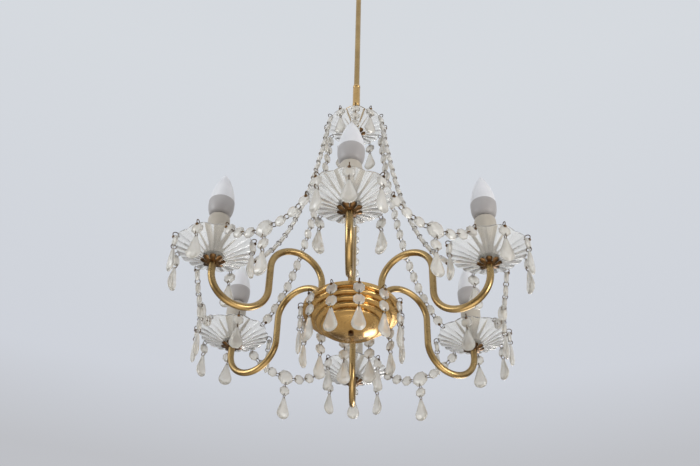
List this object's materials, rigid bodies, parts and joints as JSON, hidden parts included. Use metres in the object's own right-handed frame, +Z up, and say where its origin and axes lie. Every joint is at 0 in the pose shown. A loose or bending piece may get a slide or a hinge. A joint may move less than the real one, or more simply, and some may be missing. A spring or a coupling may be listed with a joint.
{
  "type": "six-light crystal chandelier",
  "caption": "Brass rod-hung chandelier with scrolled arms, candle lamps in glass dishes, a stepped bowl, and swags, chains and drops of cut crystal.",
  "frame": {"origin": "centre of the two ceiling screws, on the ceiling face, on the chandelier's axis", "axes": "+Z up into the ceiling; -Y towards arm 1; +X to the right when seen from arm 1's side"},
  "size_m": [0.4988, 0.5574, 1.0814],
  "materials": {
    "polished_brass": "polished, lacquered",
    "steel": "zinc plated",
    "crystal": "cut and polished, slightly milky",
    "dish_glass": "moulded, fluted",
    "lamp_opal": "opal, satin",
    "lamp_collar": "satin grey",
    "candle_plastic": "cream, satin",
    "holder_plastic": "matt white",
    "cable_sheath": "matt white",
    "link_wire": "dark bronzed wire"
  },
  "bodies": {
    "ceiling_mount": {"ceiling_bracket": "steel", "ceiling_hook": "steel", "hook_nut": "steel"},
    "canopy": {"canopy": "polished_brass", "canopy_collar": "polished_brass", "collar_screw": "polished_brass"},
    "chandelier": {"rod_eye": "polished_brass", "drop_rod": "polished_brass", "rod_coupling": "polished_brass", "centre_column": "polished_brass", "crown_collar": "polished_brass", "crown_pan": "polished_brass", "crown_dish": "dish_glass", "crown_nut": "polished_brass", "bowl_cover": "polished_brass", "bowl_shell": "polished_brass", "bowl_cap_nut": "polished_brass", "terminal_block": "holder_plastic", "arm_1": "polished_brass", "arm_2": "polished_brass", "arm_3": "polished_brass", "arm_4": "polished_brass", "arm_5": "polished_brass", "arm_6": "polished_brass", "arm_nuts": "polished_brass", "arm_wires": "cable_sheath", "candle_pans": "polished_brass", "candle_nipples": "polished_brass", "candle_dishes": "dish_glass", "lampholders": "holder_plastic", "candle_sleeves": "candle_plastic", "chain_beads": "crystal", "string_beads": "crystal", "string_drops": "crystal", "wire_links": "link_wire"},
    "bulb_1": {"bulb_base_1": "lamp_collar", "bulb_globe_1": "lamp_opal"},
    "bulb_2": {"bulb_base_2": "lamp_collar", "bulb_globe_2": "lamp_opal"},
    "bulb_3": {"bulb_base_3": "lamp_collar", "bulb_globe_3": "lamp_opal"},
    "bulb_4": {"bulb_base_4": "lamp_collar", "bulb_globe_4": "lamp_opal"},
    "bulb_5": {"bulb_base_5": "lamp_collar", "bulb_globe_5": "lamp_opal"},
    "bulb_6": {"bulb_base_6": "lamp_collar", "bulb_globe_6": "lamp_opal"},
    "swag_1": {"swag_1": "crystal"},
    "swag_drop_1": {"swag_drop_1": "crystal"},
    "swag_2": {"swag_2": "crystal"},
    "swag_drop_2": {"swag_drop_2": "crystal"},
    "swag_3": {"swag_3": "crystal"},
    "swag_drop_3": {"swag_drop_3": "crystal"},
    "swag_4": {"swag_4": "crystal"},
    "swag_drop_4": {"swag_drop_4": "crystal"},
    "swag_5": {"swag_5": "crystal"},
    "swag_drop_5": {"swag_drop_5": "crystal"},
    "swag_6": {"swag_6": "crystal"},
    "swag_drop_6": {"swag_drop_6": "crystal"}
  },
  "joints": [
    {"name": "hook_swing", "type": "hinge", "parent": "ceiling_mount", "child": "chandelier", "pos_m": [0, 0, -0.036], "axis": [0, 1, 0], "range_deg": [-4, 4]},
    {"name": "canopy_slide", "type": "slide", "parent": "chandelier", "child": "canopy", "axis": [0, 0, -1], "range_m": [0, 0.15]},
    {"name": "bulb_1_lift", "type": "slide", "parent": "chandelier", "child": "bulb_1", "axis": [0, 0, 1], "range_m": [0, 0.03]},
    {"name": "bulb_2_lift", "type": "slide", "parent": "chandelier", "child": "bulb_2", "axis": [0, 0, 1], "range_m": [0, 0.03]},
    {"name": "bulb_3_lift", "type": "slide", "parent": "chandelier", "child": "bulb_3", "axis": [0, 0, 1], "range_m": [0, 0.03]},
    {"name": "bulb_4_lift", "type": "slide", "parent": "chandelier", "child": "bulb_4", "axis": [0, 0, 1], "range_m": [0, 0.03]},
    {"name": "bulb_5_lift", "type": "slide", "parent": "chandelier", "child": "bulb_5", "axis": [0, 0, 1], "range_m": [0, 0.03]},
    {"name": "bulb_6_lift", "type": "slide", "parent": "chandelier", "child": "bulb_6", "axis": [0, 0, 1], "range_m": [0, 0.03]},
    {"name": "swag_1_swing", "type": "hinge", "parent": "chandelier", "child": "swag_1", "pos_m": [0.10929, -0.18929, -0.97815], "axis": [0.866, 0.5, 0], "range_deg": [-15, 15]},
    {"name": "swag_drop_1_swing", "type": "hinge", "parent": "swag_1", "child": "swag_drop_1", "pos_m": [0.10929, -0.18929, -1.01559], "axis": [0.866, 0.5, 0], "range_deg": [-20, 20]},
    {"name": "swag_2_swing", "type": "hinge", "parent": "chandelier", "child": "swag_2", "pos_m": [0.21858, 0, -0.97815], "axis": [0, 1, 0], "range_deg": [-15, 15]},
    {"name": "swag_drop_2_swing", "type": "hinge", "parent": "swag_2", "child": "swag_drop_2", "pos_m": [0.21858, 0, -1.01559], "axis": [0, 1, 0], "range_deg": [-20, 20]},
    {"name": "swag_3_swing", "type": "hinge", "parent": "chandelier", "child": "swag_3", "pos_m": [0.10929, 0.18929, -0.97815], "axis": [-0.866, 0.5, 0], "range_deg": [-15, 15]},
    {"name": "swag_drop_3_swing", "type": "hinge", "parent": "swag_3", "child": "swag_drop_3", "pos_m": [0.10929, 0.18929, -1.01559], "axis": [-0.866, 0.5, 0], "range_deg": [-20, 20]},
    {"name": "swag_4_swing", "type": "hinge", "parent": "chandelier", "child": "swag_4", "pos_m": [-0.10929, 0.18929, -0.97815], "axis": [-0.866, -0.5, 0], "range_deg": [-15, 15]},
    {"name": "swag_drop_4_swing", "type": "hinge", "parent": "swag_4", "child": "swag_drop_4", "pos_m": [-0.10929, 0.18929, -1.01559], "axis": [-0.866, -0.5, 0], "range_deg": [-20, 20]},
    {"name": "swag_5_swing", "type": "hinge", "parent": "chandelier", "child": "swag_5", "pos_m": [-0.21858, 0, -0.97815], "axis": [0, -1, 0], "range_deg": [-15, 15]},
    {"name": "swag_drop_5_swing", "type": "hinge", "parent": "swag_5", "child": "swag_drop_5", "pos_m": [-0.21858, 0, -1.01559], "axis": [0, -1, 0], "range_deg": [-20, 20]},
    {"name": "swag_6_swing", "type": "hinge", "parent": "chandelier", "child": "swag_6", "pos_m": [-0.10929, -0.18929, -0.97815], "axis": [0.866, -0.5, 0], "range_deg": [-15, 15]},
    {"name": "swag_drop_6_swing", "type": "hinge", "parent": "swag_6", "child": "swag_drop_6", "pos_m": [-0.10929, -0.18929, -1.01559], "axis": [0.866, -0.5, 0], "range_deg": [-20, 20]}
  ]
}
